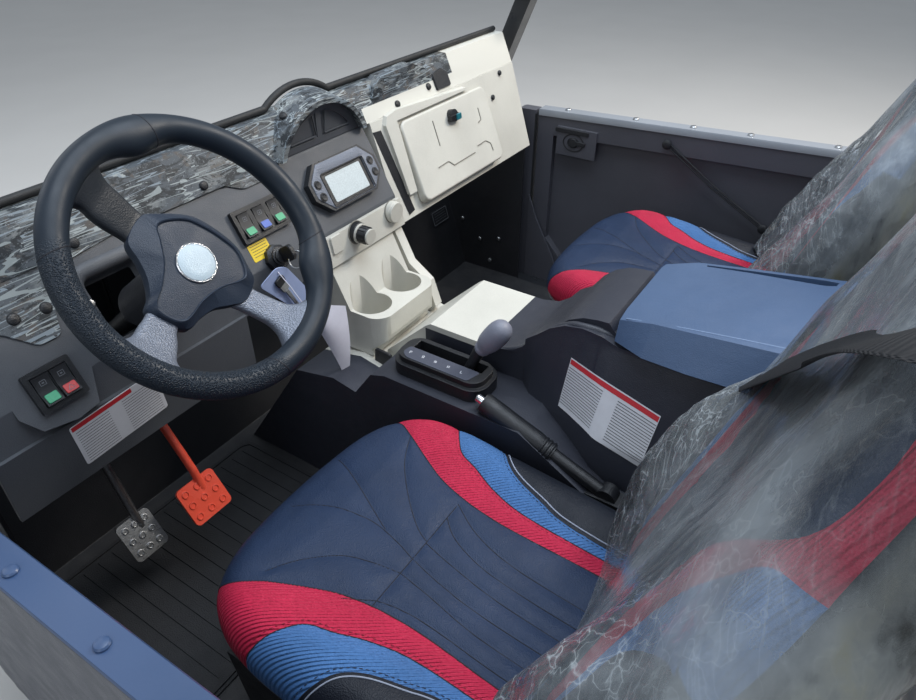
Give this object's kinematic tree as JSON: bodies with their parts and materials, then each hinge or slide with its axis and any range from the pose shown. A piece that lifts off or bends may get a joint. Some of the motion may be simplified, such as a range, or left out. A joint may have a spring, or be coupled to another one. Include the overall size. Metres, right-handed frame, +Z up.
{
  "type": "side by side utv cockpit",
  "caption": "Two-seat utility vehicle cockpit on its lower frame: floor, dash with wheel and instruments, console, bucket seats and half doors.",
  "frame": {"origin": "centre of the four chassis bolts, on the underside of the floor frame", "axes": "+X to the right of a seated driver, +Y forwards, +Z up"},
  "size_m": [1.582, 1.272, 0.9602],
  "materials": {
    "frame_paint": "satin black",
    "black_plastic": "grained",
    "dash_plastic": "fine grain",
    "printed_plastic": "bark and grass print",
    "light_plastic": "fine grain",
    "console_plastic": "fine grain",
    "switch_plastic": "satin",
    "display_plastic": "satin with a grey screen",
    "hub_plastic": "satin",
    "seal_rubber": "matt",
    "grip": "grained",
    "silver": "textured metallic",
    "steel": "bare",
    "red_paint": "gloss red",
    "seat_leather": "navy with red and blue ribbed bands",
    "door_paint": "satin"
  },
  "bodies": {
    "cab": {"accelerator_pedal": "red_paint", "accessory_strip": "light_plastic", "belt_bar": "frame_paint", "brake_pedal": "steel", "cup_stack": "light_plastic", "dash_beam": "frame_paint", "dash_panel": "dash_plastic", "dash_switches": "switch_plastic", "dash_top": "printed_plastic", "display": "display_plastic", "driver_backrest": "seat_leather", "driver_cushion": "seat_leather", "driver_seat_base": "black_plastic", "driver_seat_frame": "frame_paint", "floor_frame": "frame_paint", "floor_tub": "black_plastic", "front_post_left": "frame_paint", "front_post_right": "frame_paint", "gauge_face": "dash_plastic", "gauge_hood": "printed_plastic", "glove_box": "light_plastic", "park_brake": "switch_plastic", "passenger_backrest": "seat_leather", "passenger_cushion": "seat_leather", "passenger_seat_base": "black_plastic", "passenger_seat_frame": "frame_paint", "pedal_bracket": "frame_paint", "rear_bulkhead": "black_plastic", "rear_post_left": "frame_paint", "rear_post_right": "frame_paint", "selector_gate": "switch_plastic", "selector_lever": "switch_plastic", "steering_column": "black_plastic", "storage_box": "console_plastic", "tunnel": "console_plastic", "windscreen_seal": "seal_rubber"},
    "steering_wheel": {"wheel_rim": "grip", "wheel_black_spoke": "switch_plastic", "wheel_silver_spokes": "silver", "wheel_hub_cover": "hub_plastic"},
    "glove_box_lid": {"glove_lid": "light_plastic", "glove_latch": "switch_plastic"},
    "storage_box_lid": {"armrest_lid": "console_plastic"},
    "door_left": {"left_door": "door_paint"},
    "door_right": {"right_door": "door_paint"}
  },
  "joints": [
    {"name": "steering_turn", "type": "hinge", "parent": "cab", "child": "steering_wheel", "pos_m": [-0.441, 0.23, 0.701], "axis": [0, -0.7912, 0.6115], "range_deg": [-212, 328]},
    {"name": "glove_lid_hinge", "type": "hinge", "parent": "cab", "child": "glove_box_lid", "pos_m": [0.35, 0.38, 0.479], "axis": [1, 0, 0], "range_deg": [0, 75]},
    {"name": "armrest_hinge", "type": "hinge", "parent": "cab", "child": "storage_box_lid", "pos_m": [0.01, -0.434, 0.5415], "axis": [1, 0, 0], "range_deg": [0, 80]},
    {"name": "left_door_hinge", "type": "hinge", "parent": "cab", "child": "door_left", "pos_m": [-0.774, -0.514, 0.3], "axis": [0, 0, 1], "range_deg": [0, 70]},
    {"name": "right_door_hinge", "type": "hinge", "parent": "cab", "child": "door_right", "pos_m": [0.774, -0.514, 0.3], "axis": [0, 0, -1], "range_deg": [0, 70]}
  ]
}
